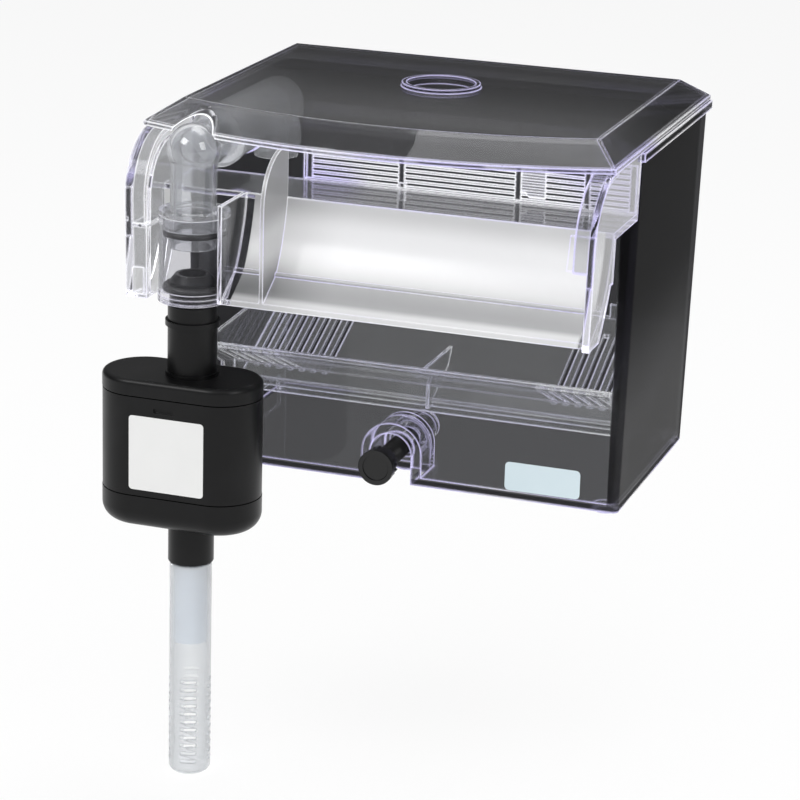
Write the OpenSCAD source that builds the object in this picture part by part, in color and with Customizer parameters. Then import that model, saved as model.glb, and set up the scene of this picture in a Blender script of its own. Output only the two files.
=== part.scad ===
// Fish breeding box that hangs on an aquarium's rim.
// A clear main box hangs behind the tank glass, a hood reaches over the rim, and a small
// submersible pump feeds the box through a pipe. The water leaves over a weir, through a
// comb-like overflow grille, and down a curved spillway back into the tank.
// X runs along the box, Y from the tank side to the rear, Z upwards. The origin is the
// middle of the bridge's underside, which sits on the tank's glass.

/* [Main box] */
// Outer width of the box at its floor
box_w = 200; // [180:1:240]
// Outer depth of the box at its floor
box_d = 114; // [106:1:150]
// Height of the box's rim above its floor
box_h = 160; // [156:1:176]
// Thickness of the box's walls
wall = 2.4; // [1.8:0.1:3]
// Thickness of the box's floor
floor_t = 3; // [2:0.1:5]
// Lean of the side and rear walls, in degrees
draft_angle = 1; // [0.5:0.1:1.5]
// Radius of the box's upright corners
corner_r = 3; // [1:0.5:6]
// Height of the flange round the rim
rim_h = 4; // [2:0.5:8]
// Overhang of the flange round the rim
rim_out = 1.6; // [0.5:0.1:3]
// Width of the pipe saddle beside the pipe bay
saddle_w = 15; // [5:0.5:20]
// Radius of the four small feet
foot_r = 5; // [3:0.5:8]
// Height of the four small feet
foot_h = 1.2; // [0.5:0.1:3]

/* [Hood] */
// Gap between the hood and the box that takes the tank's glass
slot_w = 34; // [26:1:36]
// Depth of the bridge's underside below the box's rim
bridge_drop = 29; // [26:1:31]
// Thickness of the bridge
bridge_t = 2.5; // [2:0.1:3]
// Reach of the hood in front of the box
hood_reach = 66; // [64:1:74]
// Drop of the hood below the bridge's underside
hood_drop = 40; // [36:1:46]
// Radius of the hood's rounded front shoulder
hood_r = 27; // [22:1:30]
// Thickness of the hood's end cheeks
cheek_t = 3; // [2.4:0.1:4]
// Width of the stiffening band inside each cheek's curved edge
band_w = 6; // [3:0.5:9]
// Thickness of that band
band_t = 2.2; // [1.5:0.1:3]
// Height of the feet by which the cheeks bear on the glass
glass_foot_h = 19; // [10:1:24]
// Thickness of the hood's inner webs
web_t = 1.8; // [1.4:0.1:2.4]
// Setback of the inner webs behind the cheeks' front edge
web_setback = 4; // [3:0.5:6]

/* [Spillway] */
// Radius of the spillway's curve
chute_r = 80; // [70:1:100]
// Rise of the curve's centre above the bridge's underside
chute_rise = 16; // [12:1:20]
// Thickness of the spillway
chute_t = 2.4; // [1.8:0.1:3]
// Height of the flat lip at the spillway's foot
lip_h = 11.5; // [8:0.5:16]
// Thickness of the lip's front edge
lip_t = 2.5; // [2:0.1:3.5]
// Distance from the pipe bay to the spillway's own cheek
chute_cheek_gap = 17; // [10:1:24]
// Width of the small stop tab at the spillway's top
tab_w = 9; // [6:0.5:14]
// Height of that tab
tab_h = 14; // [8:0.5:18]

/* [Overflow grille] */
// Height of the grille
grille_h = 22.5; // [16:0.5:24]
// Pitch of its bars
bar_pitch = 2.4; // [2.2:0.1:4]
// Height of one bar
bar_h = 1.2; // [0.8:0.1:1.6]
// Thickness of the bars
bar_t = 1.4; // [1:0.1:1.8]
// Width of the upright ribs
rib_w = 3; // [2:0.5:5]
// Width of the rounded finger tab
finger_tab_w = 11; // [8:0.5:16]
// Height of the hooks that hang behind the weir
hook_h = 8; // [5:0.5:14]

/* [Lid] */
// Height of the raised middle above the rim
lid_rise = 10.5; // [9.5:0.1:14]
// Width of the bevel round the raised middle
lid_bevel = 11.7; // [8:0.1:16]
// Thickness of the lid
lid_t = 2.3; // [1.8:0.1:2.6]
// Height of the upright edge below the bevel
lid_edge = 2; // [1:0.1:3]
// Overhang of the lid past the box's walls
lid_over = 0.8; // [0.4:0.1:2.5]
// Reach of the lid's front corners in front of the box
lid_reach = 45; // [40:1:50]
// Bow of the lid's front edge
lid_bow = 17; // [8:0.5:19]
// Extra depth of the front bevel
front_bevel = 20; // [16:0.5:24]
// Radius of the feeding hole
hole_r = 15; // [10:0.5:18]
// Distance of the feeding hole's centre behind the box's front wall
hole_y = 43; // [30:1:60]
// Width of the feeding hole's raised rim
hole_rim_w = 2.4; // [1.5:0.1:4]
// Height of the feeding hole's raised rim
hole_rim_h = 1.8; // [1:0.1:3]

/* [Trough insert] */
// Height of the trough's front edge above the box floor
trough_z = 53.4; // [48:0.2:62]
// Slope of the trough's two panels, in degrees
trough_angle = 25; // [20:0.5:27]
// Thickness of the panels
panel_t = 2; // [1.5:0.1:2.4]
// Distance of the throat's front lip behind the box's front wall
throat_y = 37; // [34:0.5:42]
// Width of the throat that the fry drop through
throat_w = 7; // [5:0.5:10]
// Height of the throat's lips above the box floor
throat_z = 22.5; // [22:0.1:24]
// Height of the rear panel's foot above the box floor
rear_foot_z = 26.5; // [25.5:0.1:28]
// Number of slots in each group of the front panel
front_slots = 6; // [3:1:7]
// Number of slots in each group of the rear panel
rear_slots = 7; // [4:1:8]
// Pitch of the slots
slot_pitch = 5.6; // [4.5:0.1:7]
// Width of one slot
slot_gap = 2; // [1:0.1:2.6]
// Thickness of the end plates
end_t = 2; // [1.5:0.1:2.4]
// Gap between the insert and the box's side walls at the floor
insert_gap = 2; // [1.5:0.1:4]
// Width of the end plates' legs
leg_w = 8; // [5:0.5:12]
// Setback of the front legs before the throat
leg_inset = 11; // [8:0.5:14]
// Height of the passage between the legs
arch_h = 7; // [4:0.5:10]
// Thickness of the centre divider
divider_t = 1.8; // [1.4:0.1:2.4]
// Depth of the divider's top edge below the trough's front edge
divider_drop = 9; // [6:0.5:12]
// Reach of the divider's top edge behind the throat
divider_reach = 25; // [16:1:32]

/* [Pipes] */
// Distance of the pipe's axis from the box's left side
pipe_inset = 23; // [22:0.5:28]
// Distance of the pipe's axis in front of the box
pipe_y = 52; // [50.5:0.5:54]
// Depth of the crossing pipe's axis below the box's rim
cross_drop = 6; // [5.5:0.1:7.5]
// Outer radius of the clear pipe
pipe_r = 10; // [9:0.1:10.4]
// Thickness of the clear pipe's wall
pipe_wall = 1.8; // [1.2:0.1:2.4]
// Radius of the ball at each of the pipe's corners
ball_r = 11.4; // [10.4:0.1:11.8]
// Front end of the crossing pipe in front of the box
cross_front = 27; // [22:1:34]
// Radius of the crossing pipe's bell
bell_r = 13; // [12.2:0.1:13.4]
// Length of the crossing pipe's bell
bell_len = 4.5; // [2:0.5:8]
// Thickness of the crossing pipe's wall
cross_wall = 1.7; // [1.4:0.1:2]
// Rear end of the crossing pipe behind the box's front wall
cross_end = 30; // [16:1:60]
// Distance of the return outlet's upright axis behind the crossing pipe
outlet_back = 14; // [12:0.5:20]
// Drop of the return outlet below the crossing pipe's axis
outlet_drop = 22; // [16:1:34]
// Length of hose that the return outlet takes
hose_hold = 10; // [6:0.5:10]
// Outer radius of the clear coupling sleeve
sleeve_r = 14.7; // [13.8:0.1:15]
// Thickness of the sleeve's wall
sleeve_wall = 1.65; // [1.2:0.05:1.8]
// Length of the sleeve
sleeve_len = 37.5; // [34:0.5:42]

/* [Pump] */
// Radius of the pump casing's rounded ends
pump_r = 18.5; // [17.5:0.1:18.5]
// Width of the pump casing
pump_w = 72; // [66:1:90]
// Height of the pump's middle casing
body_h = 44.4; // [42:0.2:60]
// Height of the top cover
top_h = 7.6; // [7:0.1:12]
// Height of the bottom cover
bottom_h = 15.6; // [14:0.1:22]
// Radius of the bottom cover's rounded edge
bottom_round = 8; // [3:0.5:9]
// Shift of the casing's middle to the left of the pipe's axis
pump_shift = 4; // [2:0.5:6]
// Gap at the casing's seams
seam = 0.3; // [0.2:0.05:0.5]
// Height of the pump's top below the hood's lower edge
pump_gap = 35; // [30:1:50]
// Outer radius of the black outlet pipe
outlet_r = 10.65; // [10.4:0.05:11.5]
// Outer radius of the ring on the outlet pipe
barb_r = 11.7; // [11.2:0.1:13]
// Outer radius of the inlet collar
collar_r = 10; // [9.6:0.1:11]
// Length of the inlet collar
collar_len = 17.5; // [15:0.5:25]
// Radius of the rotor magnet
magnet_r = 6; // [5:0.1:6.4]
// Length of the rotor magnet
magnet_len = 22; // [16:0.5:26]
// Radius of the impeller
impeller_r = 9; // [7.5:0.1:9.6]
// Number of impeller blades
blades = 6; // [4:1:8]
// Radius of the rotor's shaft
shaft_r = 1; // [0.8:0.1:1.5]
// Radius of the outlet pipe's bore
outlet_bore = 6.2; // [5:0.1:7]
// Wall between the casing's left end and the coil chamber
coil_wall = 6; // [4:0.5:8]
// Wall between the rotor well and the coil chamber
well_wall = 2.1; // [1.5:0.1:3]
// Height of the coil chamber
room_h = 30; // [26:1:32]
// Depth of the coil chamber
room_d = 22; // [18:1:26]
// Height of the laminated core
core_h = 26; // [22:1:28]
// Depth of the laminated core
core_d = 10; // [8:1:12]
// Width of the core's two upright limbs
limb_w = 7; // [5:0.5:8]
// Height of the core's upper and lower limbs
yoke_h = 6; // [4:0.5:7]
// Thickness of the coil's winding
winding_t = 2.2; // [1.5:0.1:3]
// Radius of the gland for the pump's lead
gland_r = 5; // [4:0.5:6]
// Radius of the lead's hole in the gland
lead_r = 2.2; // [1.8:0.1:3]

/* [Intake] */
// Outer radius of the intake tube
intake_r = 8; // [7:0.1:8.2]
// Thickness of the intake tube's wall
intake_wall = 1.3; // [1:0.1:1.6]
// Length of the intake tube below the collar
intake_len = 37; // [30:1:50]
// Outer radius of the strainer tube
strainer_r = 9.3; // [9:0.1:9.8]
// Length of the strainer tube
strainer_len = 99; // [85:1:130]
// Number of rows of strainer slots
strainer_rows = 11; // [6:1:13]
// Pitch of the rows of strainer slots
strainer_pitch = 3.8; // [3:0.1:4.2]
// Height of one strainer slot
strainer_gap = 1.6; // [1:0.1:2]
// Width of one strainer slot
strainer_slot = 6.8; // [4:0.2:8]

/* [Leveling screw] */
// Offset of the screw's axis from the middle of the box
screw_x = -4; // [-10:0.5:10]
// Height of the screw's axis above the box floor
screw_z = 13; // [12.5:0.1:13]
// Radius of the screw
screw_r = 5; // [4:0.1:5]
// Radius of the boss that takes the screw
boss_r = 7.4; // [7:0.1:7.6]
// Depth of the arched pocket in the front wall
pocket_d = 20; // [16:1:24]
// Inner radius of the arched pocket
pocket_r = 9.5; // [9.2:0.1:10]
// Thickness of the pocket's wall
pocket_wall = 4; // [2:0.1:4.5]
// Stand-off of the knob's face in front of the box
knob_reach = 20; // [16:1:24]
// Radius of the knob
knob_r = 8; // [7.5:0.1:8.6]
// Length of the knob
knob_len = 10; // [7:0.5:13]
// Number of grip ribs on the knob
knob_ribs = 18; // [12:1:24]
// Distance that the screw can be wound inwards
screw_in = 8; // [2:1:8]
// Length of screw held in the boss
screw_hold = 14; // [12:1:16]

/* [Hidden] */
$fn = 64;

// Clearances
run_gap = 0.05;      // radial gap of a running fit
rest_gap = 0.3;      // gap under a piece that lifts off
part_gap = 0.2;      // gap round a piece inside the pump
far = 400;           // longer than anything in the model
eps = 0.01;          // overlap that makes a cut clean

// Colours
clear_tint = [0.86, 0.87, 0.95, 0.35];
edge_tint = [0.74, 0.73, 0.92, 0.45];
milky_tint = [0.88, 0.90, 0.92, 0.6];
black_tint = [0.06, 0.06, 0.07];
rubber_tint = [0.03, 0.03, 0.03];
steel_tint = [0.72, 0.73, 0.75];
copper_tint = [0.72, 0.42, 0.22];
ceramic_tint = [0.93, 0.92, 0.88];
magnet_tint = [0.25, 0.25, 0.27];

// Worked out from the sizes above
lean = tan(draft_angle);
bridge_z = box_h - bridge_drop;
cross_z = box_h - cross_drop;
weir_z = bridge_z + bridge_t;
hood_z = bridge_z - hood_drop;
half_w = box_w / 2;
inner_half = half_w - wall;
rim_half = half_w + box_h * lean;
rim_rear = box_d + box_h * lean;
pipe_x = -half_w + pipe_inset;
bay_half = sleeve_r + 0.5;
bay_left = pipe_x - bay_half;
bay_right = pipe_x + bay_half;
shoulder_y = -hood_reach + hood_r;
shoulder_z = box_h - hood_r;
chute_y = -slot_w - chute_r;
chute_z = bridge_z + chute_rise;
chute_x = bay_right + web_t;
lip_front = -hood_reach + web_setback;
kink_z = hood_z + lip_h;
kink_y = chute_y + sqrt(pow(chute_r, 2) - pow(chute_z - kink_z, 2));
cross_r = pipe_r + run_gap + cross_wall;
saddle_right = bay_right + saddle_w;
grille_left = saddle_right + 0.5;
grille_right = inner_half + weir_z * lean - 1.2;
bars = floor((grille_h - bar_h) / bar_pitch);
rear_edge_y = box_d - wall - 1.6;
throat_rear = throat_y + panel_t + throat_w;
insert_half = inner_half - insert_gap;
panel_half = insert_half - end_t;
pump_top = hood_z - pump_gap;
pump_x = pipe_x - pump_shift;
pump_straight = pump_w - 2 * pump_r;
pump_y = -slot_w - 0.5 - pump_r;
body_top = pump_top - top_h;
body_bottom = body_top - body_h;
pump_bottom = body_bottom - bottom_h;
sleeve_top = hood_z + sleeve_len - 2;
sleeve_bottom = sleeve_top - sleeve_len;
sleeve_bore = sleeve_r - sleeve_wall;
ring_minor = (sleeve_bore - pipe_r) / 2 - run_gap;
ring_major = (sleeve_bore + pipe_r) / 2;
seat_h = 4.5;
collar_h = 6;
flange_t = 1.6;
ring_lip = 1.2;
elbow_hold = 12;
outlet_hold = 12;
upper_ring_z = sleeve_top - collar_h - ring_minor - run_gap;
lower_ring_z = sleeve_bottom + seat_h + ring_minor + run_gap;
spigot_z = upper_ring_z - ring_minor - run_gap - ring_lip - 4;
collar_end = pump_bottom - collar_len;
well_gap = 0.9;
room_left = pump_x - pump_w / 2 + coil_wall;
room_right = pipe_x - magnet_r - well_gap - well_wall;
room_z = body_bottom + 8;
core_left = room_left + 3 * part_gap + winding_t;
core_right = room_right - part_gap;
core_z = room_z + (room_h - core_h) / 2;
gland_t = 2.2;
gland_floor = 0.8;
gland_x = pump_x - 12;
gland_y = pump_y + pump_r - gland_t - part_gap;
gland_z = body_top - 8;
latch_w = 9;
latch_h = 1.8;
rotor_base = body_bottom + 4.5;
chamber_r = impeller_r + 1.2;
chamber_d = 8.5;
well_top = rotor_base + magnet_len + 7.5;
bush_r = shaft_r + 1.6;
bush_len = 2;
spider_z = body_bottom - chamber_d - 1.5;
spider_t = 1.4;
spider_bore = shaft_r + 0.8;
inlet_bore = 5.2;
channel_off = chamber_r + 4.8;
channel_r = 3.6;
seal_t = 1;
seal_in = chamber_r + 1.4;
seal_out = chamber_r + 3;
collar_hold = 3.5;
intake_hold = collar_len - 2.5;
pocket_arch = pocket_r + pocket_wall;
screw_tip = pocket_d + wall + screw_hold;
boss_end = screw_tip + screw_in + 0.5;
knob_hold = 4;
knob_seat_y = -knob_reach + knob_len - knob_hold;

// Shifts a piece drawn from the box's front bottom edge to the seat on the tank's glass
module to_seat() {
    translate([0, slot_w / 2, -bridge_z]) children();
}

// Extrudes a Y-Z outline along X
module along_x(x0, len) {
    translate([x0, 0, 0]) rotate([90, 0, 90]) linear_extrude(len) children();
}

// A cylinder that runs along +Y
module rod_y(x, y0, z, r, len) {
    translate([x, y0, z]) rotate([-90, 0, 0]) cylinder(h = len, r = r);
}

// A plain tube that stands on its lower end
module tube(r, bore, len) {
    difference() {
        cylinder(h = len, r = r);
        translate([0, 0, -eps]) cylinder(h = len + 2 * eps, r = bore);
    }
}

// Moves a shape to the pipe's upright axis
module at_pipe(z) {
    translate([pipe_x, -pipe_y, z]) children();
}

// A block whose sides and rear lean outwards while its front stays upright
module drafted_block(z0, z1, inset, r) {
    hull() {
        for (z = [z0, z1 - eps]) {
            for (side = [-1, 1]) {
                translate([side * (half_w + z * lean - inset - r), inset + r, z])
                    cylinder(h = eps, r = r, $fn = 32);
                translate([side * (half_w + z * lean - inset - r), box_d + z * lean - inset - r, z])
                    cylinder(h = eps, r = r, $fn = 32);
            }
        }
    }
}

// The arched section of the leveling screw's pocket
module pocket_arch_2d(r) {
    translate([screw_x, screw_z]) circle(r);
    translate([screw_x - r, 0]) square([2 * r, screw_z]);
}

// The clear box with its weir, pocket for the leveling screw and pipe saddle
module main_box() {
    color(clear_tint) to_seat() {
        difference() {
            union() {
                difference() {
                    drafted_block(0, box_h, 0, corner_r);
                    drafted_block(floor_t, box_h + 1, wall, corner_r - 0.8);
                    translate([-inner_half - weir_z * lean, -1, weir_z])
                        cube([2 * (inner_half + weir_z * lean), wall + 1.2, box_h]);
                }
                rim_flange();
                pipe_saddle();
                pocket_shell();
                box_feet();
            }
            translate([0, pocket_d, 0]) rotate([90, 0, 0])
                linear_extrude(pocket_d + 1) pocket_arch_2d(pocket_r);
            translate([screw_x - pocket_r, -1, -foot_h]) cube([2 * pocket_r, pocket_d + 1, 2 * foot_h]);
            rod_y(screw_x, pocket_d - 1, screw_z, screw_r + run_gap, boss_end - pocket_d + 1);
        }
    }
}

// The outward flange round three sides of the rim
module rim_flange() {
    difference() {
        translate([-rim_half - rim_out, 0, box_h - rim_h])
            cube([2 * (rim_half + rim_out), rim_rear + rim_out, rim_h]);
        translate([-rim_half + 1, -1, box_h - rim_h - 1])
            cube([2 * (rim_half - 1), rim_rear, rim_h + 2]);
    }
}

// The raised part of the front wall that cradles the crossing pipe
module pipe_saddle() {
    saddle_top = cross_z - 4;
    difference() {
        translate([-inner_half - weir_z * lean, 0, weir_z - 1])
            cube([saddle_right + inner_half + weir_z * lean, wall, saddle_top - weir_z + 1]);
        rod_y(pipe_x, -1, cross_z, cross_r + run_gap, wall + 2);
    }
}

// The walls of the arched pocket and the blind boss behind it
module pocket_shell() {
    translate([0, pocket_d + wall, 0]) rotate([90, 0, 0])
        linear_extrude(pocket_d + wall) pocket_arch_2d(pocket_arch);
    rod_y(screw_x, pocket_d, screw_z, boss_r, boss_end - pocket_d + wall);
}

// Four small round feet
module box_feet() {
    foot_x = half_w - foot_r - 2;
    for (x = [-foot_x, foot_x]) {
        for (y = [foot_r + 2, box_d - foot_r - 2]) {
            translate([x, y, -foot_h]) cylinder(h = foot_h + 1, r = foot_r);
        }
    }
}

// The side outline of the hood, drawn back from its front by inset
module hood_outline(inset) {
    square_top = box_h - inset;
    translate([-hood_reach + inset, hood_z]) square([hood_reach - inset, shoulder_z - hood_z]);
    translate([shoulder_y, shoulder_z - 1]) square([-shoulder_y, square_top - shoulder_z + 1]);
    translate([shoulder_y, shoulder_z]) circle(hood_r - inset);
}

// Everything behind the spillway's rear face and below a given height
module behind_chute(rear_gap, top_z) {
    difference() {
        translate([chute_y, -1]) square([far, top_z + 1]);
        translate([chute_y, chute_z]) circle(chute_r + chute_t + rear_gap, $fn = 128);
    }
}

// One end cheek of the hood, in line with the box's leaning side wall
module end_cheek() {
    translate([half_w, 0, 0]) rotate([0, draft_angle, 0]) {
        along_x(-cheek_t, cheek_t) {
            difference() {
                hood_outline(0);
                translate([-slot_w, -1]) square([far, bridge_z + 1]);
                behind_chute(2, bridge_z - glass_foot_h);
                translate([0, -1]) square([far, far]);
            }
        }
        along_x(-cheek_t - band_w, band_w + eps) {
            difference() {
                hood_outline(0);
                hood_outline(band_t);
                translate([-slot_w, -1]) square([far, far]);
                translate([-far, -1]) square([2 * far, hood_z + hood_drop * 0.8 + 1]);
            }
        }
    }
}

// The space between the two end cheeks, less a small gap
module between_cheeks(gap) {
    intersection_for (side = [0, 1]) {
        mirror([side, 0, 0]) translate([half_w, 0, 0]) rotate([0, draft_angle, 0])
            translate([-cheek_t - gap - far, -far / 2, -far / 2]) cube([far, far, far]);
    }
}

// The upright webs on either side of the pump's pipe
module bay_webs() {
    along_x(bay_left - web_t, web_t) {
        difference() {
            hood_outline(web_setback);
            translate([-slot_w, -1]) square([far, bridge_z + 1]);
            translate([-slot_w + web_t, -1]) square([far, far]);
            behind_chute(0, bridge_z);
        }
    }
    along_x(bay_right, web_t) {
        difference() {
            translate([lip_front, hood_z]) square([-slot_w - lip_front + eps, weir_z - hood_z]);
            behind_chute(0, bridge_z);
        }
    }
}

// The front panel and ledge between the left cheek and the pipe bay
module left_front_panel() {
    panel_top = hood_z + hood_drop * 0.8;
    window_h = 11;
    window_w = 4.5;
    intersection() {
        between_cheeks(-eps);
        union() {
            difference() {
                translate([-half_w - 10, -hood_reach, hood_z])
                    cube([bay_left + half_w + 10, band_t, panel_top - hood_z]);
                translate([bay_left - web_t - window_w, -hood_reach - 1, hood_z + 2])
                    cube([window_w, band_t + 2, window_h]);
            }
            translate([-half_w - 10, -hood_reach, panel_top - 1.6])
                cube([bay_left + half_w + 10, 16, 1.6]);
            translate([-half_w - 10, -hood_reach, hood_z])
                cube([bay_left + half_w + 10, 8, 1.6]);
        }
    }
}

// The hood: bridge over the glass, end cheeks and the webs of the pipe bay
module front_hood() {
    color(edge_tint) to_seat() {
        bridge_half = half_w + bridge_z * lean - cheek_t / 2;
        translate([-bridge_half, -slot_w, bridge_z]) cube([2 * bridge_half, slot_w, bridge_t]);
        end_cheek();
        mirror([1, 0, 0]) end_cheek();
        bay_webs();
        left_front_panel();
    }
}

// The curved sheet of the spillway with its flat lip
module chute_profile() {
    intersection() {
        difference() {
            translate([chute_y, chute_z]) circle(chute_r + chute_t, $fn = 128);
            translate([chute_y, chute_z]) circle(chute_r, $fn = 128);
        }
        translate([chute_y, kink_z - 1.5]) square([chute_r + chute_rise, weir_z - kink_z + 1.5]);
        translate([-slot_w - far, 0]) square([far, far]);
    }
    polygon([
        [kink_y, kink_z],
        [lip_front, hood_z + lip_t],
        [lip_front, hood_z],
        [lip_front + 1.5, hood_z],
        [kink_y + chute_t, kink_z - 1.5],
    ]);
    translate([kink_y - 0.2, kink_z + 0.3]) circle(0.9);
}

// The spillway: curved sheet, its own left cheek and a small stop tab
module spillway_chute() {
    cheek_x = chute_x + chute_cheek_gap;
    tab_x = inner_half - 14;
    color(clear_tint) to_seat() {
        intersection() {
            along_x(chute_x + run_gap, far / 2) chute_profile();
            between_cheeks(run_gap);
        }
        along_x(cheek_x, web_t) {
            difference() {
                hood_outline(web_setback);
                translate([-slot_w - 0.4, -1]) square([far, far]);
                behind_chute(0, bridge_z);
            }
        }
        along_x(tab_x, tab_w) {
            intersection() {
                difference() {
                    translate([chute_y, chute_z]) circle(chute_r + 0.5, $fn = 128);
                    translate([chute_y, chute_z]) circle(chute_r - 1, $fn = 128);
                }
                translate([chute_y, bridge_z - tab_h]) square([far, tab_h]);
            }
        }
    }
}

// The comb-like grille on the weir that keeps the fry in
module overflow_grille() {
    span = grille_right - grille_left;
    rib_at = [0, 0.29, 0.65, 0.86];
    color(clear_tint) to_seat() {
        translate([0, 0.3, weir_z + rest_gap]) {
            for (i = [0 : bars]) {
                translate([grille_left, 0, i * bar_pitch]) cube([span, bar_t, bar_h]);
            }
            for (share = rib_at) {
                translate([grille_left + span * share, -0.2, 0])
                    cube([rib_w, bar_t + 0.4, bars * bar_pitch + bar_h]);
            }
            translate([grille_right - rib_w, -0.2, 0])
                cube([rib_w, bar_t + 0.4, bars * bar_pitch + bar_h]);
            finger_tab(grille_left + span * rib_at[2] + rib_w, bars * bar_pitch + bar_h);
            for (share = [rib_at[1], rib_at[3]]) {
                weir_hook(grille_left + span * share);
            }
        }
    }
}

// The rounded tab by which the grille is lifted
module finger_tab(x, top) {
    translate([x, 0, 0]) rotate([90, 0, 0]) translate([0, 0, -0.2]) linear_extrude(1.2) {
        intersection() {
            translate([-eps, 2]) square([finger_tab_w, top]);
            translate([finger_tab_w, top - finger_tab_w + 1]) circle(finger_tab_w + eps);
        }
        translate([-eps, 4]) square([finger_tab_w, top - finger_tab_w - 3]);
    }
}

// A hook that reaches over the weir and hangs down inside the box
module weir_hook(x) {
    translate([x, 0, 0]) {
        cube([rib_w, wall + 1.6, 1.8]);
        translate([0, wall, -hook_h]) cube([rib_w, 1.6, hook_h + 1.8]);
    }
}

// The lid's outer or inner form: upright edge, bevels on all sides and a bowed front
module lid_form(inset, z0, z_edge, z_top) {
    plateau_half = rim_half + lid_over - lid_bevel;
    front_y = -(lid_reach - (front_bevel - 2.5));
    bow_r = (pow(plateau_half, 2) + pow(lid_bow, 2)) / (2 * lid_bow);
    bow_y = front_y - lid_bow + bow_r;
    low_half = rim_half + lid_over - inset;
    top_half = plateau_half - inset * 0.8;
    low_rear = rim_rear + lid_over - inset;
    top_rear = rim_rear + lid_over - lid_bevel - inset * 0.8;
    intersection() {
        translate([0, far / 2, 0]) rotate([90, 0, 0]) linear_extrude(far) polygon([
            [-low_half, z0], [low_half, z0], [low_half, z_edge],
            [top_half, z_top], [-top_half, z_top], [-low_half, z_edge],
        ]);
        along_x(-far / 2, far) polygon([
            [-far / 2, z0], [low_rear, z0], [low_rear, z_edge],
            [top_rear, z_top], [-far / 2, z_top],
        ]);
        translate([0, bow_y, z0]) union() {
            cylinder(h = z_edge - z0, r = bow_r + front_bevel - inset, $fn = 256);
            translate([0, 0, z_edge - z0])
                cylinder(h = z_top - z_edge, r1 = bow_r + front_bevel - inset,
                         r2 = bow_r - inset * 0.8, $fn = 256);
        }
    }
}

// The lift-off lid with its feeding hole and the arch that clears the pipe
module lid() {
    base = box_h + rest_gap;
    top = box_h + lid_rise;
    color(edge_tint) to_seat() {
        difference() {
            union() {
                difference() {
                    lid_form(0, base, base + lid_edge, top);
                    lid_form(lid_t, base - 1, base + lid_edge - 0.4, top - lid_t);
                }
                translate([0, hole_y, top - lid_t])
                    cylinder(h = lid_t + hole_rim_h, r = hole_r + hole_rim_w);
            }
            translate([0, hole_y, top - lid_t - 1])
                cylinder(h = lid_t + hole_rim_h + 2, r = hole_r);
            rod_y(pipe_x, -hood_reach - 10, cross_z, cross_r + 1, hood_reach);
        }
    }
}

// Cuts a group of slots that run down a sloping panel
module slope_slots(count, x_from, y0, y1, z0) {
    for (i = [0 : count - 1]) {
        for (side = [-1, 1]) {
            translate([side * (x_from - i * slot_pitch) - slot_gap / 2, y0, z0])
                cube([slot_gap, y1 - y0, far / 10]);
        }
    }
}

// The front panel of the trough, with its top rail and throat lip
module insert_front_panel() {
    rail_y = wall + 0.8;
    rail_w = 2.2;
    slope = tan(trough_angle);
    skin = panel_t / cos(trough_angle);
    start_z = trough_z - 1;
    lip_rear = throat_y + panel_t;
    lip_top = start_z - (lip_rear - rail_y - rail_w) * slope;
    color(edge_tint) to_seat() {
        difference() {
            along_x(-panel_half, 2 * panel_half) polygon([
                [rail_y, trough_z],
                [rail_y + rail_w, trough_z],
                [rail_y + rail_w, start_z],
                [lip_rear, lip_top],
                [lip_rear, throat_z],
                [throat_y, throat_z],
                [throat_y, lip_top - skin + panel_t * slope],
                [rail_y, start_z - skin + rail_w * slope],
            ]);
            slope_slots(front_slots, panel_half - 5, rail_y + rail_w + 3, throat_y - 3, throat_z + 4);
        }
    }
}

// The rear panel of the trough, which rises to the rear wall
module insert_rear_panel() {
    slope = tan(trough_angle);
    skin = panel_t / cos(trough_angle);
    rear_z = rear_foot_z + (rear_edge_y - throat_rear) * slope;
    hook_w = 6;
    color(clear_tint) to_seat() {
        difference() {
            along_x(-panel_half, 2 * panel_half) polygon([
                [throat_rear, throat_z],
                [throat_rear + panel_t, throat_z],
                [throat_rear + panel_t, rear_foot_z + panel_t * slope - skin],
                [rear_edge_y, rear_z - skin],
                [rear_edge_y, rear_z],
                [throat_rear, rear_foot_z],
            ]);
            slope_slots(rear_slots, panel_half - 5, throat_rear + 8, rear_edge_y - 12, throat_z + 3);
        }
        for (x = [-panel_half * 0.72, panel_half * 0.72]) {
            translate([x - hook_w / 2, rear_edge_y - 2, rear_z - skin]) cube([hook_w, 2, skin + 6]);
        }
    }
}

// The outline of an end plate: it closes the trough and stands on two legs
module end_outline() {
    slope = tan(trough_angle);
    rear_z = rear_foot_z + (rear_edge_y - throat_rear) * slope;
    front_leg = throat_y - leg_inset;
    rear_leg = rear_edge_y - 4;
    difference() {
        polygon([
            [wall + 0.8, trough_z],
            [rear_edge_y, rear_z + 1.5],
            [rear_edge_y, rear_z - 5],
            [rear_leg, rear_z - 12],
            [rear_leg, floor_t + rest_gap],
            [front_leg, floor_t + rest_gap],
            [front_leg, trough_z - 16],
            [wall + 0.8, trough_z - 4],
        ]);
        translate([front_leg + leg_w, 0]) square([rear_leg - front_leg - 2 * leg_w, floor_t + arch_h]);
        translate([(front_leg + rear_leg) / 2, floor_t + arch_h]) circle(5);
    }
}

// The left end plate of the trough
module insert_left_end() {
    color(clear_tint) to_seat() along_x(-insert_half, end_t) end_outline();
}

// The right end plate of the trough
module insert_right_end() {
    color(clear_tint) to_seat() along_x(insert_half - end_t, end_t) end_outline();
}

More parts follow.
